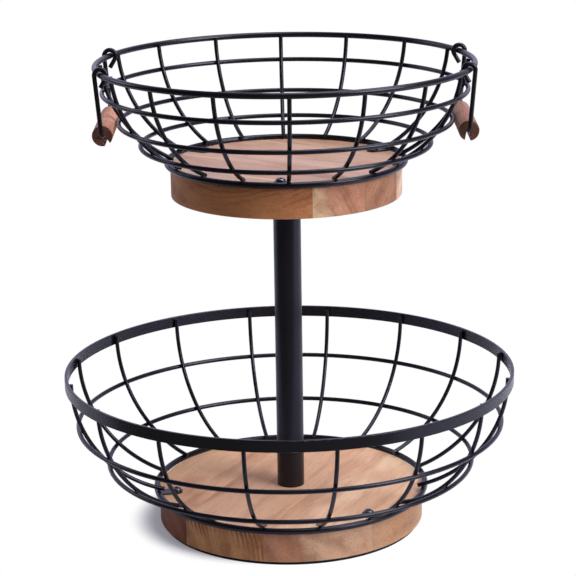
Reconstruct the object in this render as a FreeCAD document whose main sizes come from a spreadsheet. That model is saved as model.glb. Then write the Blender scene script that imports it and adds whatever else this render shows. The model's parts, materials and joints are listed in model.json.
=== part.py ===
import FreeCAD, Part
import math
import os

import Sketcher
from FreeCAD import Placement, Rotation, Vector

# Two-tier wire basket: two wire bowls on round boards, a pole between them and two swinging handles.
# Millimetres, +Z up. The origin is the middle of the base pad's underside, and the front faces -Y.
# Angles around the pole are in degrees from the front towards +X.

# Driving sizes
SIZES = {
    # Wire of both baskets
    "rib_dia": 3.25,
    "ring_dia": 3.5,
    "rim_wire_dia": 4.5,
    "bottom_wire_dia": 4.8,
    "weld_gap": 0.05,
    "ring_seat": 1.3,
    "rib_count": 16,
    "rib_tip_reach": 3.5,
    # Boards and the pad under the lower one
    "board_thick": 24.5,
    "board_edge_round": 0.8,
    "lower_board_dia": 208.5,
    "upper_board_dia": 177.0,
    "pad_thick": 2.8,
    "pad_inset": 2.5,
    # Pole between the boards
    "pole_dia": 21.3,
    "pole_wall": 1.5,
    "pole_length": 236.9,
    # Lower basket, heights above its board
    "lower_rim_dia": 351.2,
    "lower_rim_height": 97.5,
    "band_height": 9.0,
    "band_thick": 2.5,
    "band_edge_round": 0.5,
    "lower_rib_drop": 1.7,
    "lower_rib_turn": 11.25,
    "lower_ring_high_height": 55.6,
    "lower_ring_low_height": 23.6,
    "lower_ring_overhang": 2.1,
    "lower_tab_turn": 40.0,
    # Upper basket, heights above its board
    "upper_rim_dia": 286.0,
    "upper_rim_height": 76.1,
    "upper_rib_rise": 0.2,
    "upper_flare": 6.0,
    "upper_rib_turn": 1.2,
    "upper_ring_high_height": 56.5,
    "upper_ring_middle_height": 33.0,
    "upper_ring_low_height": 15.1,
    "upper_ring_overhang": 2.25,
    "upper_tab_turn": -3.2,
    # Tabs inside the bottom rings and the screws through them
    "tab_count": 3,
    "tab_thick": 1.2,
    "tab_width": 10.5,
    "tab_reach": 19.5,
    "tab_corner": 5.0,
    "tab_screw_inset": 5.0,
    "screw_shank_dia": 4.0,
    "screw_length": 14.0,
    "screw_tip_length": 3.0,
    "screw_head_dia": 7.5,
    "screw_head_height": 2.4,
    "screw_head_round": 1.4,
    "recess_span": 4.2,
    "recess_width": 1.2,
    "recess_depth": 1.4,
    "screw_fit": 0.05,
    "pilot_spare": 0.5,
    # Hidden joints at the two ends of the pole
    "plug_length": 18.0,
    "thread_dia": 8.0,
    "thread_fit": 0.05,
    "bolt_length": 28.0,
    "bolt_head_dia": 13.0,
    "bolt_head_height": 5.0,
    "washer_dia": 20.0,
    "washer_thick": 1.6,
    "counterbore_dia": 24.0,
    "counterbore_depth": 9.0,
    "stud_in_plug": 14.0,
    "stud_in_insert": 11.0,
    "insert_dia": 12.0,
    "insert_length": 13.0,
    # Handles
    "bail_dia": 3.4,
    "hook_rib_gap": 3.1,
    "hook_inner_dia": 5.6,
    "hook_close_angle": 35.0,
    "hook_tail_length": 8.0,
    "handle_drop": 46.0,
    "bail_bend_radius": 4.0,
    "grip_dia": 15.5,
    "grip_end_gap": 0.5,
    "grip_edge_round": 0.8,
    "kerf_clearance": 0.1,
    "kerf_mouth": 4.6,
    "cut_overrun": 1.0,
    "left_kerf_turn": 25.0,
    "right_kerf_turn": 3.0,
    "grip_rest_gap": 0.5,
}


def tier_cells(tier, flare):
    """Cells for the arc of a basket's ribs, from the weld at the rim to the top of the bottom ring.

    At the rim the arc leans outwards by the flare angle.
    """
    run = f"{tier}_rib_top_r - {tier}_bottom_ring_r"
    rise = f"{tier}_rib_top_z - {tier}_bottom_ring_z"
    spread = f"(bottom_offset + ({run}) * cos({flare}) - ({rise}) * sin({flare}))"
    return {
        f"{tier}_arc_radius": f"(({run}) ^ 2 + ({rise}) ^ 2 - bottom_offset ^ 2) / (2 * {spread})",
        f"{tier}_arc_r": f"{tier}_rib_top_r - {tier}_arc_radius * cos({flare})",
        f"{tier}_arc_z": f"{tier}_rib_top_z + {tier}_arc_radius * sin({flare})",
        f"{tier}_rib_end": f"atan2({tier}_arc_z - {tier}_bottom_ring_z; {tier}_bottom_ring_r - {tier}_arc_r)"
        f" + Sizes.rib_tip_reach / {tier}_arc_radius * 1 rad",
        f"{tier}_tab_inner": f"{tier}_bottom_ring_r - Sizes.tab_reach",
        f"{tier}_tab_outer": f"sqrt(({tier}_bottom_ring_r - Sizes.bottom_wire_dia / 2 - Sizes.weld_gap) ^ 2"
        f" - (Sizes.tab_width / 2) ^ 2)",
        f"{tier}_screw_r": f"{tier}_tab_inner + Sizes.tab_screw_inset",
    }


def ring_cells(tier, place):
    """Cells for the height and radius of a ring that lies against the outside of a basket's ribs."""
    ring = f"{tier}_ring_{place}"
    return {
        f"{ring}_z": f"{tier}_board_top + Sizes.{ring}_height",
        f"{ring}_r": f"{tier}_arc_r + sqrt(({tier}_arc_radius + ring_offset) ^ 2"
        f" - ({tier}_arc_z - {ring}_z) ^ 2)",
    }


# Places of the thinner rings in each basket
RING_PLACES = {"lower": ["high", "low"], "upper": ["high", "middle", "low"]}

# Sizes worked out from the driving ones
DERIVED = {
    "lower_board_top": "Sizes.pad_thick + Sizes.board_thick",
    "upper_board_bottom": "lower_board_top + Sizes.pole_length",
    "upper_board_top": "upper_board_bottom + Sizes.board_thick",
    "lower_bottom_ring_z": "lower_board_top + Sizes.ring_seat",
    "lower_bottom_ring_r": "Sizes.lower_board_dia / 2 + Sizes.lower_ring_overhang",
    "upper_bottom_ring_z": "upper_board_top + Sizes.ring_seat",
    "upper_bottom_ring_r": "Sizes.upper_board_dia / 2 + Sizes.upper_ring_overhang",
    "ring_offset": "(Sizes.rib_dia + Sizes.ring_dia) / 2 + Sizes.weld_gap",
    "bottom_offset": "(Sizes.rib_dia + Sizes.bottom_wire_dia) / 2 + Sizes.weld_gap",
    "rim_offset": "(Sizes.rib_dia + Sizes.rim_wire_dia) / 2 + Sizes.weld_gap",
    "band_top": "lower_board_top + Sizes.lower_rim_height",
    "band_inner_r": "Sizes.lower_rim_dia / 2 - Sizes.band_thick",
    "lower_rib_top_r": "band_inner_r - Sizes.weld_gap - Sizes.rib_dia / 2",
    "lower_rib_top_z": "band_top - Sizes.lower_rib_drop",
    "upper_rim_z": "upper_board_top + Sizes.upper_rim_height",
    "upper_rib_top_r": "Sizes.upper_rim_dia / 2 - rim_offset * cos(Sizes.upper_flare)",
    "upper_rib_top_z": "upper_rim_z + rim_offset * sin(Sizes.upper_flare)",
    **tier_cells("lower", "0"),
    **tier_cells("upper", "Sizes.upper_flare"),
    "lower_rib_start": "0 deg",
    "upper_rib_start": "Sizes.upper_flare * 1 deg - Sizes.upper_rib_rise / upper_arc_radius * 1 rad",
    "plug_r": "Sizes.pole_dia / 2 - Sizes.pole_wall - Sizes.thread_fit",
    "thread_hole_r": "Sizes.thread_dia / 2 + Sizes.thread_fit",
    "bolt_seat_z": "Sizes.pad_thick + Sizes.counterbore_depth - Sizes.washer_thick",
    "screw_hole_r": "Sizes.screw_shank_dia / 2 + Sizes.screw_fit",
    "pilot_depth": "Sizes.screw_length - Sizes.tab_thick + Sizes.pilot_spare",
    "hook_r": "(Sizes.hook_inner_dia + Sizes.bail_dia) / 2",
    "hook_to_rib": "(Sizes.bail_dia + Sizes.rib_dia) / 2 + Sizes.hook_rib_gap",
    "hook_turn": "(360 / Sizes.rib_count - abs(Sizes.upper_rib_turn)) * 1 deg"
    " - hook_to_rib / (Sizes.upper_rim_dia / 2) * 1 rad",
    "hook_y": "Sizes.upper_rim_dia / 2 * sin(hook_turn)",
    "hinge_x": "Sizes.upper_rim_dia / 2 * cos(hook_turn)",
    "kerf_width": "Sizes.bail_dia + 2 * Sizes.kerf_clearance",
    "grip_length": "2 * (hook_y - Sizes.bail_bend_radius - Sizes.grip_end_gap)",
}
for basket, places in RING_PLACES.items():
    for place in places:
        DERIVED.update(ring_cells(basket, place))

# Points of a sketch line or circle, and the sketch's own origin and axes, as the sketcher numbers them
START, END, CENTRE = range(1, 4)
X_AXIS, Y_AXIS = range(-1, -3, -1)
ORIGIN = (X_AXIS, START)

doc = FreeCAD.newDocument("TieredBasket")
nodes = []


def fill_sheet(name, cells, lead):
    """Make a sheet with one named cell per entry, whose text starts with lead."""
    sheet = doc.addObject("Spreadsheet::Sheet", name)
    for row, (alias, content) in enumerate(cells.items(), start=1):
        sheet.set(f"A{row}", alias)
        sheet.set(f"B{row}", f"{lead}{content}")
        sheet.setAlias(f"B{row}", alias)
    doc.recompute()
    return sheet


sizes = fill_sheet("Sizes", SIZES, "")
derived = fill_sheet("Derived", DERIVED, "=")


def value(text):
    """Number that an expression of sheet cells gives."""
    return float(derived.evalExpression(text))


def angle(cell):
    """Degrees held by a cell of the worked-out sizes."""
    return getattr(derived, cell).Value


def bind(item, **expressions):
    """Tie an object's properties to expressions of sheet cells."""
    for name, text in expressions.items():
        item.setExpression(name, text)


def keep(item, label):
    """Name an object as one of the part's pieces."""
    item.Label = label
    nodes.append(item)
    return item


def outward(turn):
    """Level direction away from the pole at an angle around it."""
    return Vector(math.sin(math.radians(turn)), -math.cos(math.radians(turn)), 0)


# Sketches and bodies


def origin_feature(body, role):
    return next(item for item in body.Origin.OriginFeatures if item.Role == role)


def add_sketch(body, name, role):
    sketch = body.newObject("Sketcher::SketchObject", f"{body.Name}_{name}")
    sketch.AttachmentSupport = [(origin_feature(body, role), "")]
    sketch.MapMode = "FlatFace"
    return sketch


def hold_point(sketch, line, end, x, y):
    """Hold a point of a sketch at two expressions, or on an axis where one of them is zero."""
    for text, kind, axis in ((x, "DistanceX", Y_AXIS), (y, "DistanceY", X_AXIS)):
        if text == "0":
            sketch.addConstraint(Sketcher.Constraint("PointOnObject", line, end, axis))
        else:
            limit = sketch.addConstraint(Sketcher.Constraint(kind, *ORIGIN, line, end, value(text)))
            sketch.setExpression(f"Constraints[{limit}]", text)


def add_outline(sketch, points):
    """Draw a closed outline with a corner at each pair of expressions."""
    corners = [Vector(value(x), value(y), 0) for x, y in points]
    first = sketch.GeometryCount
    for here, there in zip(corners, corners[1:] + corners[:1]):
        sketch.addGeometry(Part.LineSegment(here, there), False)
    for index, (x, y) in enumerate(points):
        following = (index + 1) % len(points)
        sketch.addConstraint(Sketcher.Constraint("Coincident", first + index, END, first + following, START))
        hold_point(sketch, first + index, START, x, y)


def add_circle(sketch, radius, x):
    """Draw a circle centred on the sketch's level axis at expression x."""
    centre = Vector(value(x), 0, 0)
    circle = sketch.addGeometry(Part.Circle(centre, Vector(0, 0, 1), value(radius)), False)
    limit = sketch.addConstraint(Sketcher.Constraint("Radius", circle, value(radius)))
    sketch.setExpression(f"Constraints[{limit}]", radius)
    hold_point(sketch, circle, CENTRE, x, "0")


def add_feature(body, kind, name, sketch, **expressions):
    feature = body.newObject(f"PartDesign::{kind}", f"{body.Name}_{name}")
    feature.Profile = sketch
    bind(feature, **expressions)
    doc.recompute()
    return feature


def spin(body, name, outline):
    """Turn an outline of radius and height pairs about the body's upright axis."""
    sketch = add_sketch(body, f"{name}_outline", "XZ_Plane")
    add_outline(sketch, outline)
    turned = body.newObject("PartDesign::Revolution", f"{body.Name}_{name}")
    turned.Profile = sketch
    turned.ReferenceAxis = (sketch, ["V_Axis"])
    doc.recompute()
    return turned


def new_body(label, height="0", turn="0"):
    """Start a body at a height, turned about the pole."""
    body = doc.addObject("PartDesign::Body", label)
    body.AllowCompound = True
    body.Placement = Placement(Vector(0, 0, value(height)), Rotation(Vector(0, 0, 1), value(turn)))
    if height != "0":
        body.setExpression("Placement.Base.z", height)
    return keep(body, label)


def round_edges(body, base, radius, wanted):
    """Round the edges of a feature that the test picks."""
    names = [f"Edge{i}" for i, edge in enumerate(base.Shape.Edges, start=1) if wanted(edge)]
    rounding = body.newObject("PartDesign::Fillet", f"{body.Name}_rounding")
    rounding.Base = (base, names)
    bind(rounding, Radius=radius)
    doc.recompute()
    return rounding


def is_circle_of(radius):
    """Test for whole-circle edges of one radius."""
    size = value(radius)

    def test(edge):
        is_round = isinstance(edge.Curve, Part.Circle)
        return is_round and math.isclose(edge.Curve.Radius, size, rel_tol=1e-6)

    return test


def repeat(body, features, count):
    """Repeat features evenly around the body's upright axis."""
    pattern = body.newObject("PartDesign::PolarPattern", f"{body.Name}_repeat")
    pattern.Originals = features
    pattern.Axis = (origin_feature(body, "Z_Axis"), [""])
    pattern.Angle = 360
    bind(pattern, Occurrences=count)
    body.Tip = pattern
    doc.recompute()
    return pattern


# Boards, pad and pole


def make_board(tier, outline):
    """Round board with its top at height zero, rounded edges and a pilot hole under each tab screw."""
    body = new_body(f"{tier}_board", f"Derived.{tier}_board_top", f"Sizes.{tier}_tab_turn - 90")
    disc = spin(body, "disc", outline)
    rounded = round_edges(body, disc, "Sizes.board_edge_round", is_circle_of(f"Sizes.{tier}_board_dia / 2"))
    sketch = add_sketch(body, "pilot_outline", "XY_Plane")
    add_circle(sketch, "Derived.screw_hole_r", f"Derived.{tier}_screw_r")
    pilot = add_feature(body, "Pocket", "pilot", sketch, Length="Derived.pilot_depth")
    if pilot.Shape.Volume >= rounded.Shape.Volume:
        raise RuntimeError(f"{body.Label}: the pilot hole cuts nothing")
    repeat(body, [pilot], "Sizes.tab_count")


def make_boards():
    lower_r = "Sizes.lower_board_dia / 2"
    upper_r = "Sizes.upper_board_dia / 2"
    bore_r = "Sizes.counterbore_dia / 2"
    shelf = "Sizes.counterbore_depth - Sizes.board_thick"
    insert_r = "Sizes.insert_dia / 2 + Sizes.thread_fit"
    pocket_top = "Sizes.insert_length - Sizes.board_thick"
    bottom = "-Sizes.board_thick"
    make_board("lower", [
        (bore_r, bottom), (lower_r, bottom), (lower_r, "0"),
        ("Derived.thread_hole_r", "0"), ("Derived.thread_hole_r", shelf), (bore_r, shelf),
    ])
    make_board("upper", [
        (insert_r, bottom), (upper_r, bottom), (upper_r, "0"),
        ("0", "0"), ("0", pocket_top), (insert_r, pocket_top),
    ])


def make_pad():
    body = new_body("base_pad")
    radius = "Sizes.lower_board_dia / 2 - Sizes.pad_inset"
    spin(body, "disc", [("0", "0"), (radius, "0"), (radius, "Sizes.pad_thick"), ("0", "Sizes.pad_thick")])


def make_ring_body(label, height, inner_r, outer_r, length):
    """Plain turned sleeve that stands on a height."""
    body = new_body(label, height)
    spin(body, "wall", [(inner_r, "0"), (outer_r, "0"), (outer_r, length), (inner_r, length)])
    return body


def make_pole():
    foot = "Derived.lower_board_top"
    head = "Derived.upper_board_bottom"
    pole_r = "Sizes.pole_dia / 2"
    hole_r = "Derived.thread_hole_r"
    make_ring_body("pole_tube", foot, f"{pole_r} - Sizes.pole_wall", pole_r, "Sizes.pole_length")
    for end, height in (("lower", foot), ("upper", f"{head} - Sizes.plug_length")):
        make_ring_body(f"pole_{end}_plug", height, hole_r, "Derived.plug_r", "Sizes.plug_length")
    make_ring_body("base_washer", "Derived.bolt_seat_z", hole_r, "Sizes.washer_dia / 2", "Sizes.washer_thick")
    make_ring_body("upper_insert", head, hole_r, "Sizes.insert_dia / 2", "Sizes.insert_length")

    shank_r = "Sizes.thread_dia / 2"
    head_r = "Sizes.bolt_head_dia / 2"
    head_bottom = "-Sizes.bolt_head_height"
    bolt = new_body("base_bolt", "Derived.bolt_seat_z")
    spin(bolt, "bolt", [
        ("0", head_bottom), (head_r, head_bottom), (head_r, "0"),
        (shank_r, "0"), (shank_r, "Sizes.bolt_length"), ("0", "Sizes.bolt_length"),
    ])
    stud = new_body("upper_stud", head)
    low = "-Sizes.stud_in_plug"
    high = "Sizes.stud_in_insert"
    spin(stud, "stud", [("0", low), (shank_r, low), (shank_r, high), ("0", high)])


# Wire baskets


def make_torus(label, ring_r, wire_dia, height):
    """Level wire ring around the pole."""
    ring = doc.addObject("Part::Torus", label)
    bind(ring, Radius1=ring_r, Radius2=f"{wire_dia} / 2")
    ring.setExpression("Placement.Base.z", height)
    return keep(ring, label)


def make_ribs(tier):
    """Bent wires spread evenly around a basket, each an arc in a plane through the pole."""
    start = math.radians(angle(f"{tier}_rib_start"))
    count = round(sizes.rib_count)
    for index in range(count):
        out = outward(value(f"Sizes.{tier}_rib_turn") + 360 / count * index)
        first = out * math.cos(start) - Vector(0, 0, math.sin(start))
        onward = out * -math.sin(start) - Vector(0, 0, math.cos(start))
        centre = out * value(f"Derived.{tier}_arc_r") + Vector(0, 0, value(f"Derived.{tier}_arc_z"))
        rib = doc.addObject("Part::Torus", f"{tier}_rib_{index + 1:02d}")
        bind(
            rib,
            Radius1=f"Derived.{tier}_arc_radius",
            Radius2="Sizes.rib_dia / 2",
            Angle3=f"Derived.{tier}_rib_end - Derived.{tier}_rib_start",
        )
        rib.Placement = Placement(centre, Rotation(first, onward, Vector(), "XYZ"))
        keep(rib, rib.Name)


def make_rim_band():
    """Flat steel band around the top of the lower basket, with its edges eased."""
    foot = "Derived.band_top - Sizes.band_height"
    outer_r = "Sizes.lower_rim_dia / 2"
    body = make_ring_body("lower_rim_band", foot, "Derived.band_inner_r", outer_r, "Sizes.band_height")
    round_edges(body, body.Tip, "Sizes.band_edge_round", lambda edge: isinstance(edge.Curve, Part.Circle))


def make_baskets():
    make_rim_band()
    make_torus("upper_rim_wire", "Sizes.upper_rim_dia / 2", "Sizes.rim_wire_dia", "Derived.upper_rim_z")
    for tier, places in RING_PLACES.items():
        for place in places:
            ring = f"{tier}_ring_{place}"
            make_torus(ring, f"Derived.{ring}_r", "Sizes.ring_dia", f"Derived.{ring}_z")
        bottom = f"{tier}_bottom_ring"
        make_torus(bottom, f"Derived.{bottom}_r", "Sizes.bottom_wire_dia", f"Derived.{bottom}_z")
        make_ribs(tier)


# Tabs and their screws


def make_tabs(tier):
    """Flat plates from the inside of the bottom ring over the board, with a rounded end and a screw hole."""
    body = new_body(f"{tier}_tabs", f"Derived.{tier}_board_top", f"Sizes.{tier}_tab_turn - 90")
    inner = f"Derived.{tier}_tab_inner"
    outer = f"Derived.{tier}_tab_outer"
    half = "Sizes.tab_width / 2"
    sketch = add_sketch(body, "outline", "XY_Plane")
    add_outline(sketch, [(inner, f"-{half}"), (outer, f"-{half}"), (outer, half), (inner, half)])
    add_circle(sketch, "Derived.screw_hole_r", f"Derived.{tier}_screw_r")
    plate = add_feature(body, "Pad", "plate", sketch, Length="Sizes.tab_thick")
    end = value(inner)

    def is_end_corner(edge):
        upright = edge.BoundBox.ZLength > edge.BoundBox.YLength
        return upright and math.isclose(edge.CenterOfMass.x, end, rel_tol=1e-6)

    rounded = round_edges(body, plate, "Sizes.tab_corner", is_end_corner)
    repeat(body, [plate, rounded], "Sizes.tab_count")


def make_screws(tier):
    """Pan-head wood screws with a cross recess; the top of their heads is at height zero."""
    top = f"Derived.{tier}_board_top + Sizes.tab_thick + Sizes.screw_head_height"
    body = new_body(f"{tier}_tab_screws", top, f"Sizes.{tier}_tab_turn - 90")
    centre = f"Derived.{tier}_screw_r"
    shank = f"{centre} + Sizes.screw_shank_dia / 2"
    rim = f"{centre} + Sizes.screw_head_dia / 2"
    seat = "-Sizes.screw_head_height"
    tip = f"{seat} - Sizes.screw_length"
    sketch = add_sketch(body, "screw_outline", "XZ_Plane")
    add_outline(sketch, [
        (centre, tip), (shank, f"{tip} + Sizes.screw_tip_length"), (shank, seat),
        (rim, seat), (rim, "0"), (centre, "0"),
    ])
    last_line = len(sketch.Geometry)
    screw = body.newObject("PartDesign::Revolution", f"{body.Name}_screw")
    screw.Profile = sketch
    screw.ReferenceAxis = (sketch, [f"Edge{last_line}"])
    doc.recompute()
    on_head = is_circle_of("Sizes.screw_head_dia / 2")
    middle = value(seat) / 2

    def is_head_top(edge):
        return on_head(edge) and edge.Curve.Center.z > middle

    rounded = round_edges(body, screw, "Sizes.screw_head_round", is_head_top)
    arms = add_sketch(body, "recess_outline", "XY_Plane")
    add_outline(arms, cross_outline(centre, "Sizes.recess_span / 2", "Sizes.recess_width / 2"))
    recess = add_feature(body, "Pocket", "recess", arms, Length="Sizes.recess_depth")
    if recess.Shape.Volume >= rounded.Shape.Volume:
        raise RuntimeError(f"{body.Label}: the recess cuts nothing")
    repeat(body, [screw, rounded, recess], "Sizes.tab_count")


def cross_outline(centre, arm, half):
    """Corners of an upright cross around a point on the sketch's level axis."""
    quarter = [(arm, half), (half, half), (half, arm)]
    corners = []
    for x_sign, y_sign in ((1, 1), (-1, 1), (-1, -1), (1, -1)):
        ordered = quarter if x_sign == y_sign else quarter[::-1]
        corners += [(f"{centre} + {x_sign} * {x}", f"{y_sign} * {y}") for x, y in ordered]
    return corners


# Handles


def line(here, there):
    return Part.LineSegment(here, there).toShape()


def arc(here, between, there):
    return Part.Arc(here, between, there).toShape()


def on_circle(turn, radius):
    """Outward and upward parts of a radius at an angle above the outward direction."""
    return radius * math.cos(math.radians(turn)), radius * math.sin(math.radians(turn))


def bail_wire():
    """Centre line of the bail about its hinge: X outwards, Y along the hinge and Z up."""
    radius = value("Derived.hook_r")
    bend = value("Sizes.bail_bend_radius")
    bottom = -value("Sizes.handle_drop")
    side = value("Derived.hook_y")
    close_turn = 180 + value("Sizes.hook_close_angle")
    hook_x, hook_z = on_circle(close_turn, radius)
    tail_x, tail_z = on_circle(close_turn + 90, value("Sizes.hook_tail_length"))
    crown_x, crown_z = on_circle(close_turn / 2, radius)
    bend_inset = bend - on_circle(45, bend)[0]
    # Outward place, distance in from the hook's plane, and height
    leg = [
        (hook_x + tail_x, 0, hook_z + tail_z),
        (hook_x, 0, hook_z),
        (crown_x, 0, crown_z),
        (radius, 0, 0),
        (radius, 0, bottom + bend),
        (radius, bend_inset, bottom + bend_inset),
        (radius, bend, bottom),
    ]
    front = [Vector(x, inset - side, z) for x, inset, z in leg]
    back = [Vector(x, side - inset, z) for x, inset, z in reversed(leg)]
    return Part.Wire([
        line(*front[0:2]), arc(*front[1:4]), line(*front[3:5]), arc(*front[4:7]),
        line(front[-1], back[0]),
        arc(*back[0:3]), line(*back[2:4]), arc(*back[3:6]), line(*back[5:7]),
    ])


def rest_placement(turn):
    """Place of a hanging handle: its grip leans in until it nearly touches the middle ring."""
    hinge = Vector(value("Derived.hinge_x"), 0, value("Derived.upper_rim_z"))
    ring = Vector(value("Derived.upper_ring_middle_r"), 0, value("Derived.upper_ring_middle_z")) - hinge
    apart = value("(Sizes.ring_dia + Sizes.grip_dia) / 2 + Sizes.grip_rest_gap")
    reach = math.hypot(value("Derived.hook_r"), value("Sizes.handle_drop"))
    hang = math.atan2(value("Sizes.handle_drop"), value("Derived.hook_r"))
    # Angle at the hinge in the triangle of hinge, ring and grip
    spread = math.acos((reach ** 2 + ring.Length ** 2 - apart ** 2) / (2 * reach * ring.Length))
    lean = -(math.atan2(ring.z, ring.x) + spread) - hang
    around_pole = Placement(Vector(), Rotation(Vector(0, 0, 1), turn))
    return around_pole * Placement(hinge, Rotation(Vector(0, 1, 0), math.degrees(lean)))


def make_bail(side, place):
    """Handle wire, swept along its centre line from one hook's tail to the other's."""
    path = doc.addObject("Part::Feature", f"{side}_bail_path")
    path.Shape = bail_wire()
    path.Placement = place
    tail = path.Shape.OrderedVertexes[:2]
    section = doc.addObject("Part::Circle", f"{side}_bail_section")
    bind(section, Radius="Sizes.bail_dia / 2")
    section.Placement = Placement(tail[0].Point, Rotation(Vector(0, 0, 1), tail[1].Point - tail[0].Point))
    wire = doc.addObject("Part::Sweep", f"{side}_handle_wire")
    wire.Sections = [section]
    wire.Spine = (path, [f"Edge{i}" for i in range(1, len(path.Shape.Edges) + 1)])
    wire.Solid = True
    doc.recompute()
    swept = path.Shape.Length * math.pi * value("Sizes.bail_dia / 2") ** 2
    if not math.isclose(wire.Shape.Volume, swept, rel_tol=0.01):
        raise RuntimeError(f"{wire.Name}: volume {wire.Shape.Volume:.1f}, expected {swept:.1f}")
    keep(wire, wire.Name)


def make_grip(side, place):
    """Dowel around the bail's straight run, with a kerf below that lets the wire in to the middle."""
    body = new_body(f"{side}_handle_grip")
    middle = Vector(value("Derived.hook_r"), 0, -value("Sizes.handle_drop"))
    body.Placement = place * Placement(middle, Rotation(Vector(0, 1, 0), value(f"Sizes.{side}_kerf_turn")))
    section = add_sketch(body, "section", "XZ_Plane")
    add_circle(section, "Sizes.grip_dia / 2", "0")
    dowel = add_feature(body, "Pad", "dowel", section, Length="Derived.grip_length")
    dowel.SideType = "Symmetric"
    doc.recompute()
    solid = round_edges(body, dowel, "Sizes.grip_edge_round", is_circle_of("Sizes.grip_dia / 2"))
    half = "Derived.kerf_width / 2"
    mouth = "Sizes.kerf_mouth / 2"
    below = "-Sizes.grip_dia / 2 - Sizes.cut_overrun"
    slot = add_sketch(body, "slot_outline", "XZ_Plane")
    add_outline(slot, [(f"-{mouth}", below), (mouth, below), (half, "0"), (f"-{half}", "0")])
    channel = add_sketch(body, "channel_outline", "XZ_Plane")
    add_circle(channel, half, "0")
    for name, sketch in (("slot", slot), ("channel", channel)):
        cut = add_feature(body, "Pocket", name, sketch, Length="Derived.grip_length")
        cut.SideType = "Symmetric"
        doc.recompute()
        if cut.Shape.Volume >= solid.Shape.Volume:
            raise RuntimeError(f"{body.Label}: the {name} cuts nothing")
        solid = cut


def make_handles():
    for side, turn in (("right", 0), ("left", 180)):
        place = rest_placement(turn)
        make_bail(side, place)
        make_grip(side, place)


def check_document():
    """Stop on anything that failed to build."""
    doc.recompute()
    failed = [item.Name for item in doc.Objects if {"Invalid", "Error"} & set(item.State)]
    broken = [item.Label for item in nodes if item.Shape.isNull() or not item.Shape.isValid()]
    if failed or broken:
        raise RuntimeError(f"failed: {failed}, broken: {broken}")


def export_pieces():
    os.makedirs("parts", exist_ok=True)
    for item in nodes:
        item.Shape.exportStep(f"parts/{item.Label}.step")


make_pad()
make_boards()
make_pole()
make_baskets()
for basket in RING_PLACES:
    make_tabs(basket)
    make_screws(basket)
make_handles()
check_document()
export_pieces()
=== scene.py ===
# %% [markdown]
# # A tiered wire basket
#
# Two wire bowls sit on thick wooden boards, one above the other on a black pole, and two wooden carry
# handles hang on the upper rim. The solids already have the right shapes, so this lesson is about finish:
# a camera that stands where the photographer stood, soft studio light, and materials made from nodes.

# %% Load the solids
import bpy
import json
import math
from mathutils import Matrix, Vector


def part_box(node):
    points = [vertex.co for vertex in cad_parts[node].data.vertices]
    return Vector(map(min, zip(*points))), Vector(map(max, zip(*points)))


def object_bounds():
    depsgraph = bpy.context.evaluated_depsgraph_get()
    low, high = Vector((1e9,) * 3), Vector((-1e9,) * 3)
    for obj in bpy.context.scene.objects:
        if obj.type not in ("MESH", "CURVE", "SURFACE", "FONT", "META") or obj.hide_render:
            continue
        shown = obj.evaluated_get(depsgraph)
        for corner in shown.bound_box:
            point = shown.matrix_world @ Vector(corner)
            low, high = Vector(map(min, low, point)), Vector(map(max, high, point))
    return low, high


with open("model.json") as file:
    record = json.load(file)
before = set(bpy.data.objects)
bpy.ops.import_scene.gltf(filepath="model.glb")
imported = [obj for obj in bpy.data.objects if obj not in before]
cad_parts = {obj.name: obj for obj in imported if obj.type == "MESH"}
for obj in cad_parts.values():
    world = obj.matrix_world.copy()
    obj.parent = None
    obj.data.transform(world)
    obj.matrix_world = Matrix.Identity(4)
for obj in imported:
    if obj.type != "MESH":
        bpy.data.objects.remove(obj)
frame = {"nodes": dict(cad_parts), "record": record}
solid_low, solid_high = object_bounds()
nodes = frame["nodes"]
MM = 0.001
print("solids:", len(nodes), "box in mm:", [round(v / MM, 1) for v in solid_high - solid_low])

# %% [markdown]
# ## The camera
#
# A camera can be set by eye. Here the rings of both bowls are true circles, and the ovals they make in the
# photograph tell more exactly where it stood: about a metre and a half in front and a quarter of a metre
# above the upper rim, with a long lens, and leaning by under a degree. The lens is worked out from a focal
# length in pixels of a picture that is 576 pixels wide.

# %% Camera
PICTURE_WIDTH_PX = 576
FOCAL_LENGTH_PX = 2103.5
CAMERA_BACK = 1575.9 * MM
CAMERA_HEIGHT = 620.3 * MM
CAMERA_TILT = math.radians(15.325)
CAMERA_LEAN = math.radians(-0.863)

bpy.ops.object.select_all(action="DESELECT")
bpy.ops.object.camera_add()
camera = bpy.context.object
camera.name = "photo_camera"
camera.data.lens = camera.data.sensor_width * FOCAL_LENGTH_PX / PICTURE_WIDTH_PX
camera.matrix_world = (
    Matrix.Translation((0, -CAMERA_BACK, CAMERA_HEIGHT))
    @ Matrix.Rotation(math.radians(90) - CAMERA_TILT, 4, "X")
    @ Matrix.Rotation(CAMERA_LEAN, 4, "Z")
)
bpy.context.scene.camera = camera
bpy.context.scene.view_settings.view_transform = "Standard"
print("lens in mm:", round(camera.data.lens, 1))

# %% [markdown]
# ## Small helpers
#
# Colours are easiest to read as the hex values of a paint chart, but a shader works with linear light, so
# one function turns the one into the other. A second function adds a node, sets its options, and fills its
# sockets with numbers or with what other nodes give out. A Mix node keeps a pair of sockets for each kind of
# value, all with the same names, so they go by their place: 2 and 3 for numbers, 4 and 5 for vectors, 6 and
# 7 for colours. Two more functions give a pattern its scale and start a material.


# %% Helpers for materials
def linear(hex_colour):
    """Turn an sRGB hex colour into the linear colour that a shader takes."""
    channels = [int(hex_colour[i:i + 2], 16) / 255 for i in (1, 3, 5)]
    return (*[c / 12.92 if c <= 0.04045 else ((c + 0.055) / 1.055) ** 2.4 for c in channels], 1.0)


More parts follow.
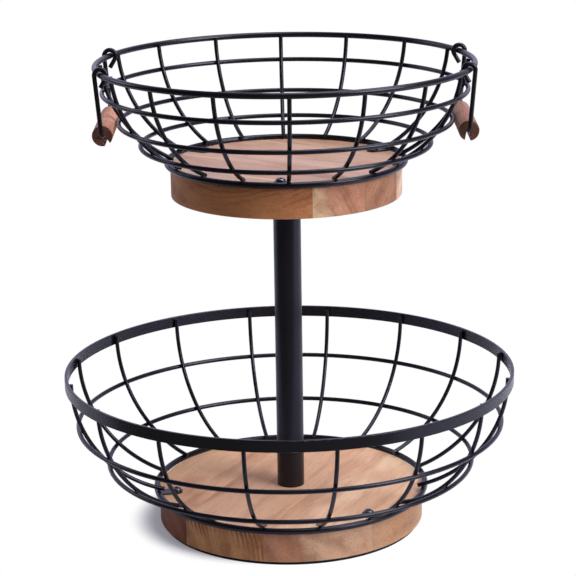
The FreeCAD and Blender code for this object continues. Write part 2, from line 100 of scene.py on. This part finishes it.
def add_node(tree, kind, sockets=None, **options):
    """Add a node with its options, and feed its sockets with numbers or with other nodes' outputs."""
    node = tree.nodes.new(kind)
    for name, option in options.items():
        setattr(node, name, option)
    for socket, source in (sockets or {}).items():
        if isinstance(source, bpy.types.NodeSocket):
            tree.links.new(source, node.inputs[socket])
        else:
            node.inputs[socket].default_value = source
    return node


def per_metre(size):
    """The scale of a pattern whose features have that size in metres."""
    return 1 / size


def new_finish(name):
    """Start a material, and return it with its node tree and its shader."""
    material = bpy.data.materials.new(name)
    material.use_nodes = True
    return material, material.node_tree, material.node_tree.nodes["Principled BSDF"]


print("white as linear light:", linear("#ffffff"))

# %% [markdown]
# ## The floor
#
# The basket stands on white studio paper with one soft shadow, and the paper runs into a white background.
# A curved sheet could be modelled, but a flat plane will do, because its material decides what the camera
# sees. Near the basket it keeps an ordinary white, so that the shadow shows, with a little light added for
# the camera. Further out the camera sees plain white, however far the lamps are. In front of the basket and
# at its left the paper soon ends at the darker floor of the studio, with an edge that runs askew. The camera
# itself sees white there, but the front of the pole and of the rim band mirror that darker floor. Real paper
# fibres are too fine to show here, so they are drawn three millimetres wide.

# %% Paper and studio floor
PAPER_TONES = ("#dcdcee", "#e0e0f1")
PAPER_FIBRE = 3 * MM
PAPER_EDGE = 215 * MM
PAPER_TURN = math.radians(20)
STUDIO_FLOOR_TONE = "#7d7672"

paper, tree, shader = new_finish("studio_paper")
shader.inputs["Roughness"].default_value = 0.9
shader.inputs["Specular IOR Level"].default_value = 0.1
spot = add_node(tree, "ShaderNodeTexCoord").outputs["Object"]
fibres = add_node(tree, "ShaderNodeTexNoise", {
    "Vector": spot, "Scale": per_metre(PAPER_FIBRE), "Detail": 3.0,
})
tone = add_node(tree, "ShaderNodeMix", {
    "Factor": fibres.outputs["Fac"], 6: linear(PAPER_TONES[0]), 7: linear(PAPER_TONES[1]),
}, data_type="RGBA")
inward = (math.sin(PAPER_TURN), math.cos(PAPER_TURN), 0)
side = add_node(tree, "ShaderNodeVectorMath", {0: spot, 1: inward}, operation="DOT_PRODUCT")
on_paper = add_node(tree, "ShaderNodeMath", {
    0: side.outputs["Value"], 1: -PAPER_EDGE,
}, operation="GREATER_THAN")
ground = add_node(tree, "ShaderNodeMix", {
    "Factor": on_paper.outputs[0], 6: linear(STUDIO_FLOOR_TONE), 7: tone.outputs[2],
}, data_type="RGBA")
tree.links.new(ground.outputs[2], shader.inputs["Base Color"])
print("finish:", paper.name)

# %% White for the camera
PAPER_LIFT = 0.15
LIFT_TONE = "#f4f4ff"
FADE_MIDDLE = (-26 * MM, 1 * MM, 0)
FADE_START = 84 * MM
FADE_END = 105 * MM

path = add_node(tree, "ShaderNodeLightPath")
lift = add_node(tree, "ShaderNodeMath", {
    0: path.outputs["Is Camera Ray"], 1: PAPER_LIFT,
}, operation="MULTIPLY")
shader.inputs["Emission Color"].default_value = linear(LIFT_TONE)
tree.links.new(lift.outputs[0], shader.inputs["Emission Strength"])
away = add_node(tree, "ShaderNodeVectorMath", {0: spot, 1: FADE_MIDDLE}, operation="DISTANCE")
far = add_node(tree, "ShaderNodeMapRange", {
    "Value": away.outputs["Value"], "From Min": FADE_START, "From Max": FADE_END,
}, interpolation_type="SMOOTHSTEP")
seen_far = add_node(tree, "ShaderNodeMath", {
    0: far.outputs[0], 1: path.outputs["Is Camera Ray"],
}, operation="MULTIPLY")
white = add_node(tree, "ShaderNodeEmission")
faded = add_node(tree, "ShaderNodeMixShader", {
    0: seen_far.outputs[0], 1: shader.outputs[0], 2: white.outputs[0],
})
tree.links.new(faded.outputs[0], tree.nodes["Material Output"].inputs["Surface"])
print("nodes of the paper:", len(tree.nodes))

# %% Lay the floor
FLOOR_SIZE = 40.0

bpy.ops.object.select_all(action="DESELECT")
bpy.ops.mesh.primitive_plane_add(size=FLOOR_SIZE)
floor = bpy.context.object
floor.name = "studio_floor"
floor.data.materials.append(paper)
print("floor:", floor.name)

# %% [markdown]
# ## The light
#
# The photograph is lit by large soft boxes: the right of the boards is bright, the left falls into shade,
# and a soft shadow lies on the left. One box hangs overhead, a larger one stands at the right in front, and
# a weak one at the left draws the pale line along the wires. A picture of a studio could light the basket
# too, but lamps can be moved one at a time. The room itself gives a low even light. In the shine of the
# black wires it is dark in front, and behind it runs into a pale lavender backdrop.

# %% Soft boxes
BASKET_MIDDLE = (solid_low + solid_high) / 2
SOFT_BOXES = {
    "overhead_box": {"place": (0.5, 0.1, 1.9), "size": 1.3, "watts": 22.0},
    "right_box": {"place": (1.8, -1.15, 1.35), "size": 1.2, "watts": 46.0},
    "left_box": {"place": (-1.7, 0.7, 1.0), "size": 0.7, "watts": 4.0},
}
for name, box in SOFT_BOXES.items():
    bpy.ops.object.select_all(action="DESELECT")
    bpy.ops.object.light_add(type="AREA", location=box["place"])
    lamp = bpy.context.object
    lamp.name = name
    lamp.data.size = box["size"]
    lamp.data.energy = box["watts"]
    lamp.rotation_euler = (BASKET_MIDDLE - Vector(box["place"])).to_track_quat("-Z", "Y").to_euler()
print("soft boxes:", len(SOFT_BOXES))

# %% Room light and backdrop
ROOM_LIGHT = 0.25
ROOM_IN_SHINE = 0.05
BACKDROP_IN_SHINE = 1.1
BACKDROP_TONE = "#d4d0f4"
# How far back a direction points, as its Y, where the backdrop starts and where it is full.
BACKDROP_START = 0.3
BACKDROP_FULL = 0.9

room = bpy.data.worlds.new("studio_room")
bpy.context.scene.world = room
room.use_nodes = True
tree = room.node_tree
sky = tree.nodes["Background"]
path = add_node(tree, "ShaderNodeLightPath")
toward = add_node(tree, "ShaderNodeTexCoord")
bearing = add_node(tree, "ShaderNodeSeparateXYZ", {0: toward.outputs["Generated"]})
shine = add_node(tree, "ShaderNodeMapRange", {
    "Value": bearing.outputs["Y"], "From Min": BACKDROP_START, "From Max": BACKDROP_FULL,
    "To Min": ROOM_IN_SHINE, "To Max": BACKDROP_IN_SHINE,
})
glossy = add_node(tree, "ShaderNodeMath", {
    0: path.outputs["Is Glossy Ray"], 1: path.outputs["Is Transmission Ray"],
}, operation="MAXIMUM")
indoors = add_node(tree, "ShaderNodeMix", {0: glossy.outputs[0], 2: ROOM_LIGHT, 3: shine.outputs[0]})
level = add_node(tree, "ShaderNodeMix", {
    0: path.outputs["Is Camera Ray"], 2: indoors.outputs[0], 3: 1.0,
})
hue = add_node(tree, "ShaderNodeMix", {
    "Factor": glossy.outputs[0], 6: linear("#ffffff"), 7: linear(BACKDROP_TONE),
}, data_type="RGBA")
tree.links.new(hue.outputs[2], sky.inputs["Color"])
tree.links.new(level.outputs[0], sky.inputs["Strength"])
print("room:", room.name)

# %% [markdown]
# ## Black powder coat
#
# The wires, bands, tabs and pole are steel with a baked satin powder coat. The powder melts into a skin
# with a faint orange peel, so highlights break up a little along a wire, and dust and handling leave it
# slightly uneven in sheen. One plain black would be simpler, but its highlights would look ruled. Real
# orange peel is about half a millimetre wide, which is too fine to show here, so it is drawn at two.

# %% Black powder coat
COAT_TONES = ("#111115", "#18181d")
COAT_SHINE_TONE = "#e2e2fc"
PEEL = 2.0 * MM
PEEL_DEPTH = 0.06 * MM
HANDLING = 30.0 * MM

powder_coat, tree, shader = new_finish("satin_black_powder_coat")
spot = add_node(tree, "ShaderNodeTexCoord").outputs["Object"]
peel = add_node(tree, "ShaderNodeTexNoise", {"Vector": spot, "Scale": per_metre(PEEL), "Detail": 2.0})
handled = add_node(tree, "ShaderNodeTexNoise", {
    "Vector": spot, "Scale": per_metre(HANDLING), "Detail": 4.0,
})
black = add_node(tree, "ShaderNodeMix", {
    "Factor": handled.outputs["Fac"], 6: linear(COAT_TONES[0]), 7: linear(COAT_TONES[1]),
}, data_type="RGBA")
sheen = add_node(tree, "ShaderNodeMapRange", {
    "Value": handled.outputs["Fac"], "To Min": 0.2, "To Max": 0.3,
})
skin = add_node(tree, "ShaderNodeBump", {
    "Strength": 0.17, "Distance": PEEL_DEPTH, "Height": peel.outputs["Fac"],
})
tree.links.new(black.outputs[2], shader.inputs["Base Color"])
tree.links.new(sheen.outputs[0], shader.inputs["Roughness"])
tree.links.new(skin.outputs[0], shader.inputs["Normal"])
shader.inputs["IOR"].default_value = 1.5
shader.inputs["Specular IOR Level"].default_value = 0.42
shader.inputs["Specular Tint"].default_value = linear(COAT_SHINE_TONE)
print("finish:", powder_coat.name)

# %% [markdown]
# ## Acacia, a pattern in space
#
# The boards are oiled acacia, glued up from wide staves that run one way, and the dowels are turned from
# the same wood. A picture could be wrapped round a board, but it would break at the edges. Wood is solid all
# through, so its pattern is made in space and the surfaces cut it. Streaks are noise drawn out along the
# grain. Growth rings run round the heart of the tree, which lies off to one side, so they give straight
# figure on the top of a board and slanting lines on its rim. Real fibres and pores are a few tenths of a
# millimetre thick, which is too fine to show here, so they are drawn at one to two.

# %% Streaks and growth rings
STREAKS = {
    "wander": {"long": 150 * MM, "thick": 25 * MM, "detail": 3.0},
    "patches": {"long": 110 * MM, "thick": 28 * MM, "detail": 2.0},
    "smudge": {"long": 70 * MM, "thick": 40 * MM, "detail": 2.0},
    "broad": {"long": 80 * MM, "thick": 11 * MM, "detail": 4.0},
    "fibre": {"long": 20 * MM, "thick": 1.8 * MM, "detail": 3.0},
    "pores": {"long": 7 * MM, "thick": 1.2 * MM, "detail": 1.0},
}
GROWTH = {
    "rings": {"width": 4.5 * MM, "bend": 18 * MM},
    "fine_rings": {"width": 3.6 * MM, "bend": 6 * MM},
    "bands": {"width": 17 * MM, "bend": 14 * MM},
}
# A wave texture of scale 1 repeats after this length.
WAVE_LENGTH = math.tau / 20


def streaks(tree, solid, long, thick, detail):
    """Noise drawn out along the grain."""
    drawn = add_node(tree, "ShaderNodeVectorMath", {
        0: solid, 1: (per_metre(long), per_metre(thick), per_metre(thick)),
    }, operation="MULTIPLY")
    return add_node(tree, "ShaderNodeTexNoise", {
        "Vector": drawn.outputs[0], "Scale": 1.0, "Detail": detail,
    })


def growth(tree, solid, wander, width, bend):
    """Growth rings of one width round the heart, bent with the wandering grain."""
    bent = add_node(tree, "ShaderNodeVectorMath", {
        0: wander, 1: (0.0, bend, bend), 2: solid,
    }, operation="MULTIPLY_ADD")
    return add_node(tree, "ShaderNodeTexWave", {
        "Vector": bent.outputs[0], "Scale": WAVE_LENGTH / width,
        "Distortion": 1.5, "Detail": 2.0, "Detail Scale": 1.2,
    }, wave_type="RINGS", rings_direction="X", wave_profile="SIN")


print("streaks:", list(STREAKS), "growth:", list(GROWTH))

# %% [markdown]
# ## Staves, glue lines and sapwood
#
# Each stave could be a piece with a material of its own, but a glued board is one solid, so one material
# sorts its points by the glue lines: each line that a point has passed hands it on to the next stave, and a
# fine line shows there. A stave has a planed tone, an oiled tone, the place of the tree's heart beside it in
# metres, how strong its rings show, and how strong they show where it is sawn across. The outer wood of a
# tree, the sapwood, is paler. It lies from a board's first glue line to an edge that wavers with the grain
# and leans as it goes up.

# %% Staves, glue lines and sapwood
GLUE_HALF_WIDTH = 0.25 * MM
SAP_WAVER = 8 * MM
SAP_FADE = 5 * MM
# The kind of mix for each value of a stave, with its two sockets and its output.
STAVE_MIXES = {
    "planed": ("RGBA", 6, 7, 2),
    "oiled": ("RGBA", 6, 7, 2),
    "heart": ("VECTOR", 4, 5, 1),
    "figure": ("FLOAT", 2, 3, 0),
    "ends": ("FLOAT", 2, 3, 0),
}


def glue_up(tree, across, joints, staves):
    """Give each place across the grain the values of its stave, and mark the glue lines."""
    values = dict(staves[0])
    near_glue = 0.0
    for joint, stave in zip(joints, staves[1:]):
        past = add_node(tree, "ShaderNodeMath", {0: across, 1: joint}, operation="GREATER_THAN")
        for key, (kind, before, after, out) in STAVE_MIXES.items():
            values[key] = add_node(tree, "ShaderNodeMix", {
                0: past.outputs[0], before: values[key], after: stave[key],
            }, data_type=kind).outputs[out]
        seam = add_node(tree, "ShaderNodeMath", {
            0: across, 1: joint, 2: GLUE_HALF_WIDTH,
        }, operation="COMPARE")
        near_glue = add_node(tree, "ShaderNodeMath", {
            0: near_glue, 1: seam.outputs[0],
        }, operation="MAXIMUM").outputs[0]
    return values, near_glue


def sapwood_place(tree, across, height, wander, start, stop, lean):
    """Where the sapwood lies: from one place across the grain to an edge that leans as it goes up."""
    leaning = add_node(tree, "ShaderNodeMath", {0: height, 1: -lean, 2: across}, operation="MULTIPLY_ADD")
    edge = add_node(tree, "ShaderNodeMath", {
        0: wander, 1: SAP_WAVER, 2: leaning.outputs[0],
    }, operation="MULTIPLY_ADD")
    started = add_node(tree, "ShaderNodeMath", {0: across, 1: start}, operation="GREATER_THAN")
    not_stopped = add_node(tree, "ShaderNodeMapRange", {
        "Value": edge.outputs[0], "From Min": stop, "From Max": stop + SAP_FADE, "To Min": 1.0, "To Max": 0.0,
    })
    return add_node(tree, "ShaderNodeMath", {
        0: started.outputs[0], 1: not_stopped.outputs[0],
    }, operation="MULTIPLY").outputs[0]


print("values of a stave:", list(STAVE_MIXES))

# %% [markdown]
# ## Oil and layers of tone
#
# The rim of a board and the ends of a dowel drink more oil, change tone and show their pores as specks.
# Over the planed and the oiled tone lie thin layers, each where its own pattern is strong: the figure of
# the rings, smudges, dark and pale streaks, fibres and pores, then the rings on sawn ends, and the glue. One
# colour ramp could stand for them all, but thin layers can be matched to the photograph one by one.

# %% Layers of tone
LAYERS = {
    "figure": {"low": 0.2, "high": 1.0, "most": 0.8, "tone": linear("#a87a58"), "how": "MULTIPLY"},
    "smudge": {"low": 0.48, "high": 0.68, "most": 0.4, "tone": linear("#c39a7c"), "how": "MULTIPLY"},
    "dark_streaks": {"low": 0.5, "high": 0.68, "most": 0.3, "tone": linear("#b98c6c"), "how": "MULTIPLY"},
    "pale_streaks": {"low": 0.5, "high": 0.32, "most": 0.35, "tone": linear("#f3dcc6"), "how": "SOFT_LIGHT"},
    "fibre": {"low": 0.45, "high": 0.7, "most": 0.16, "tone": linear("#c49c80"), "how": "MULTIPLY"},
}
PORES = {"low": 0.6, "high": 0.7, "tone": linear("#8a6148"), "how": "MULTIPLY"}
END_RINGS = {"low": 0.1, "high": 0.9, "tone": linear("#a27a58"), "how": "MULTIPLY"}
FINE_END_RINGS_MOST = 1.0
BROAD_END_RINGS_MOST = 0.28
GLUE = {"low": 0.0, "high": 1.0, "most": 0.2, "tone": linear("#4a2f20"), "how": "MIX"}
SAP = {"low": 0.0, "high": 1.0, "most": 0.8, "how": "MIX"}
OIL = {"low": 0.0, "high": 1.0, "most": 1.0, "how": "MIX"}


def blend(tree, colour, pattern, low, high, most, tone, how):
    """Blend a tone into a colour where a pattern goes from low to high."""
    share = add_node(tree, "ShaderNodeMapRange", {
        "Value": pattern, "From Min": low, "From Max": high, "To Max": most,
    }, interpolation_type="SMOOTHSTEP")
    return add_node(tree, "ShaderNodeMix", {
        "Factor": share.outputs[0], 6: colour, 7: tone,
    }, data_type="RGBA", blend_type=how).outputs[2]


def faces(tree, normal, axis):
    """How far a surface faces along an axis, either way."""
    facing = add_node(tree, "ShaderNodeVectorMath", {0: normal, 1: axis}, operation="DOT_PRODUCT")
    return add_node(tree, "ShaderNodeMath", {0: facing.outputs["Value"]}, operation="ABSOLUTE").outputs[0]


print("layers:", list(LAYERS))

# %% [markdown]
# ## The finished wood
#
# The pattern is laid along the grain and centred on its piece, so that glue lines are given as millimetres
# across the grain. Rings and fine end rings come and go in patches. Fibres roughen the oiled surface a
# little and stand up from it, and the glue lines lie a little deeper. One function makes all four woods, so
# that they differ only in what it is given.

# %% Acacia
WOOD_GRAIN_DEPTH = 0.15 * MM


def acacia(name, turn, middle, joints, staves, oiled, sapwood=None):
    """Oiled acacia with its grain along turn from +X and glue lines at joints across the grain.

    The wood is oiled where its faces look along an axis, from the low value to the high one.
    """
    material, tree, shader = new_finish(name)
    place = add_node(tree, "ShaderNodeTexCoord")
    lay = add_node(tree, "ShaderNodeMapping", {
        "Vector": place.outputs["Object"],
        "Location": Matrix.Rotation(-turn, 3, "Z") @ -Vector(middle),
        "Rotation": (0, 0, -turn),
    })
    laid = add_node(tree, "ShaderNodeSeparateXYZ", {0: lay.outputs[0]})
    across = laid.outputs["Y"]
    stave, near_glue = glue_up(tree, across, joints, staves)
    solid = add_node(tree, "ShaderNodeVectorMath", {
        0: lay.outputs[0], 1: stave["heart"],
    }, operation="SUBTRACT").outputs[0]
    noise = {kind: streaks(tree, solid, **sizes) for kind, sizes in STREAKS.items()}
    shade = {kind: texture.outputs["Fac"] for kind, texture in noise.items()}
    wander = noise["wander"].outputs["Color"]
    ring = {kind: growth(tree, solid, wander, **sizes).outputs["Fac"] for kind, sizes in GROWTH.items()}

    if sapwood:
        sap = sapwood_place(
            tree, across, laid.outputs["Z"], shade["wander"], joints[0], sapwood["stop"], sapwood["lean"],
        )
        for key in ("planed", "oiled"):
            stave[key] = blend(tree, stave[key], sap, tone=sapwood[key], **SAP)

    clear = add_node(tree, "ShaderNodeMapRange", {
        "Value": shade["patches"], "From Min": 0.38, "From Max": 0.62,
        "To Min": 0.15, "To Max": stave["figure"],
    })
    figure = add_node(tree, "ShaderNodeMath", {0: ring["rings"], 1: clear.outputs[0]}, operation="MULTIPLY")
    clear_end = add_node(tree, "ShaderNodeMapRange", {
        "Value": shade["patches"], "From Min": 0.3, "From Max": 0.6, "To Min": 0.05, "To Max": stave["ends"],
    })
    fine_end = add_node(tree, "ShaderNodeMath", {
        0: ring["fine_rings"], 1: clear_end.outputs[0],
    }, operation="MULTIPLY")
    soaked = add_node(tree, "ShaderNodeMapRange", {
        "Value": faces(tree, place.outputs["Normal"], oiled["axis"]),
        "From Min": oiled["low"], "From Max": oiled["high"],
    }).outputs[0]
    specks = add_node(tree, "ShaderNodeMapRange", {"Value": soaked, "To Min": 0.18, "To Max": 0.26})
    patterns = {
        "figure": figure.outputs[0],
        "smudge": shade["smudge"],
        "dark_streaks": shade["broad"],
        "pale_streaks": shade["broad"],
        "fibre": shade["fibre"],
    }
    colour = blend(tree, stave["planed"], soaked, tone=stave["oiled"], **OIL)
    for kind, layer in LAYERS.items():
        colour = blend(tree, colour, patterns[kind], **layer)
    colour = blend(tree, colour, shade["pores"], most=specks.outputs[0], **PORES)
    end = faces(tree, place.outputs["Normal"], (math.cos(turn), math.sin(turn), 0))
    for pattern, most in ((fine_end.outputs[0], FINE_END_RINGS_MOST), (ring["bands"], BROAD_END_RINGS_MOST)):
        on_end = add_node(tree, "ShaderNodeMath", {0: pattern, 1: end}, operation="MULTIPLY")
        colour = blend(tree, colour, on_end.outputs[0], most=most, **END_RINGS)
    colour = blend(tree, colour, near_glue, **GLUE)

    polish = add_node(tree, "ShaderNodeMapRange", {"Value": shade["fibre"], "To Min": 0.42, "To Max": 0.62})
    dent = add_node(tree, "ShaderNodeMath", {0: shade["fibre"], 1: near_glue}, operation="SUBTRACT")
    feel = add_node(tree, "ShaderNodeBump", {
        "Strength": 0.3, "Distance": WOOD_GRAIN_DEPTH, "Height": dent.outputs[0],
    })
    tree.links.new(colour, shader.inputs["Base Color"])
    tree.links.new(polish.outputs[0], shader.inputs["Roughness"])
    tree.links.new(feel.outputs[0], shader.inputs["Normal"])
    shader.inputs["IOR"].default_value = 1.48
    shader.inputs["Specular IOR Level"].default_value = 0.3
    return material


print("depth of the grain in mm:", WOOD_GRAIN_DEPTH / MM)

# %% [markdown]
# ## The two boards
#
# The staves of the two boards lie at different angles, which the streaks on their tops and the glue lines
# on their rims give away together: the lower board's run back to the right, the upper board's come forward
# to the right. One wood could serve both, but then they would look cut from one plank.


# %% Boards
def new_stave(planed, oiled, heart, figure, ends):
    """The values of one stave, with its two tones given as hex colours."""
    return {"planed": linear(planed), "oiled": linear(oiled), "heart": heart, "figure": figure, "ends": ends}


def middle_of(name):
    """The middle of a solid's box."""
    low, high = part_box(name)
    return (low + high) / 2


OILED_RIM = {"axis": (0, 0, 1), "low": 0.85, "high": 0.15}
BOARDS = {
    "lower": {
        "turn": math.radians(65),
        "joints": [-91.4 * MM, -23.6 * MM, 45.5 * MM],
        "staves": [
            new_stave("#e4bca1", "#c19876", heart=(0.1, 0.05, -0.12), figure=0.3, ends=0.3),
            new_stave("#efc2a4", "#b98566", heart=(0.5, -0.2, 0.12), figure=0.32, ends=0.25),
            new_stave("#eab99a", "#c38d60", heart=(0.9, 0.14, -0.02), figure=0.3, ends=0.8),
            new_stave("#eebc9a", "#855233", heart=(1.3, 0.18, -0.06), figure=0.28, ends=0.3),
        ],
        "sapwood": {
            "stop": -49.8 * MM, "lean": 0.25, "planed": linear("#fad3b4"), "oiled": linear("#d2ab8c"),
        },
    },
    "upper": {
        "turn": math.radians(-35),
        "joints": [-60.1 * MM, -21.9 * MM, 21.6 * MM, 60 * MM],
        "staves": [
            new_stave("#b99a8d", "#c28258", heart=(0.2, -0.12, 0.1), figure=0.6, ends=0.3),
            new_stave("#b99588", "#d19d82", heart=(0.6, -0.14, -0.06), figure=0.4, ends=0.35),
            new_stave("#c5a396", "#ad7d62", heart=(0.8, -0.1, 0.08), figure=0.4, ends=0.35),
            new_stave("#c6a18e", "#ebcab1", heart=(1.0, 0.12, -0.08), figure=0.4, ends=0.3),
            new_stave("#be9982", "#b98a6c", heart=(1.2, -0.13, 0.07), figure=0.4, ends=0.3),
        ],
        "sapwood": {
            "stop": -49.6 * MM, "lean": -0.4, "planed": linear("#e9c9a4"), "oiled": linear("#e9c9a4"),
        },
    },
}
board_woods = {
    level: acacia(f"oiled_acacia_{level}", middle=middle_of(f"{level}_board"), oiled=OILED_RIM, **board)
    for level, board in BOARDS.items()
}
print("boards:", [wood.name for wood in board_woods.values()])

# %% [markdown]
# ## The dowels of the handles
#
# The grips are turned from the same wood, with the grain along them, and they are redder than the boards.
# Their sawn ends are dark. They take the boards' pattern with one stave and no glue line.

# %% Dowels
DOWEL_GRAIN = math.radians(90)
DOWEL_TONES = {"left": ("#b98470", "#855a4d"), "right": ("#a07463", "#73503f")}
OILED_ENDS = {"axis": (0, 1, 0), "low": 0.15, "high": 0.85}
grip_woods = {
    side: acacia(
        f"oiled_acacia_{side}_dowel", DOWEL_GRAIN, middle_of(f"{side}_handle_grip"), joints=[],
        staves=[new_stave(planed, sawn, heart=(0.3, 0.02, -0.03), figure=0.6, ends=0.4)],
        oiled=OILED_ENDS,
    )
    for side, (planed, sawn) in DOWEL_TONES.items()
}
print("dowels:", [wood.name for wood in grip_woods.values()])

# %% [markdown]
# ## Rubber pad, screws and hidden steel
#
# A thin black rubber disc keeps the board off the table. It is matt and slightly dusty. The pan-head screws
# are blackened steel with a soft shine. The bolt, washer, plugs, stud and insert inside are zinc-plated. One
# function makes both steels, since only their tones and their polish differ. Real turning marks are about a
# tenth of a millimetre apart, which is too fine to show here, so they are drawn at just over one.

# %% Rubber pad
RUBBER_TONES = ("#101010", "#1f1e1e")
DUST = 4 * MM
RUBBER_DEPTH = 0.1 * MM

rubber, tree, shader = new_finish("matt_black_rubber")
spot = add_node(tree, "ShaderNodeTexCoord").outputs["Object"]
dust = add_node(tree, "ShaderNodeTexNoise", {"Vector": spot, "Scale": per_metre(DUST), "Detail": 5.0})
grey = add_node(tree, "ShaderNodeMix", {
    "Factor": dust.outputs["Fac"], 6: linear(RUBBER_TONES[0]), 7: linear(RUBBER_TONES[1]),
}, data_type="RGBA")
dull = add_node(tree, "ShaderNodeMapRange", {"Value": dust.outputs["Fac"], "To Min": 0.75, "To Max": 0.95})
feel = add_node(tree, "ShaderNodeBump", {
    "Strength": 0.3, "Distance": RUBBER_DEPTH, "Height": dust.outputs["Fac"],
})
tree.links.new(grey.outputs[2], shader.inputs["Base Color"])
tree.links.new(dull.outputs[0], shader.inputs["Roughness"])
tree.links.new(feel.outputs[0], shader.inputs["Normal"])
print("finish:", rubber.name)

# %% Blackened and plated steel
TURNING_MARKS = 1.2 * MM
TURNING_DEPTH = 0.03 * MM


def turned_steel(name, dark, light, smooth, rough):
    """Steel with fine turning marks, coloured between two tones and polished between two values."""
    material, tree, shader = new_finish(name)
    spot = add_node(tree, "ShaderNodeTexCoord").outputs["Object"]
    marks = add_node(tree, "ShaderNodeTexNoise", {
        "Vector": spot, "Scale": per_metre(TURNING_MARKS), "Detail": 4.0,
    })
    colour = add_node(tree, "ShaderNodeMix", {
        "Factor": marks.outputs["Fac"], 6: linear(dark), 7: linear(light),
    }, data_type="RGBA")
    polish = add_node(tree, "ShaderNodeMapRange", {
        "Value": marks.outputs["Fac"], "To Min": smooth, "To Max": rough,
    })
    scratch = add_node(tree, "ShaderNodeBump", {
        "Strength": 0.2, "Distance": TURNING_DEPTH, "Height": marks.outputs["Fac"],
    })
    tree.links.new(colour.outputs[2], shader.inputs["Base Color"])
    tree.links.new(polish.outputs[0], shader.inputs["Roughness"])
    tree.links.new(scratch.outputs[0], shader.inputs["Normal"])
    shader.inputs["Metallic"].default_value = 1.0
    return material


screw_steel = turned_steel("blackened_steel", dark="#4a4a50", light="#84848c", smooth=0.16, rough=0.32)
plated_steel = turned_steel("zinc_plated_steel", dark="#a9adb2", light="#cdd0d3", smooth=0.25, rough=0.45)
print("finishes:", screw_steel.name, plated_steel.name)

# %% [markdown]
# ## Dress the solids
#
# The record names a finish for every solid. The boards and dowels have a wood of their own, cut from
# another place in the tree, and everything else takes the finish of its slot.

# %% Dress the solids
finishes = {
    "black_coat": powder_coat, "pad_rubber": rubber, "screw_black": screw_steel, "plated_steel": plated_steel,
}
own_woods = {
    "lower_board": board_woods["lower"], "upper_board": board_woods["upper"],
    "left_handle_grip": grip_woods["left"], "right_handle_grip": grip_woods["right"],
}
for row in frame["record"]["subparts"]:
    finish = own_woods.get(row["node"]) or finishes[row["material_slot"]]
    for slot in nodes[row["node"]].material_slots:
        slot.material = finish
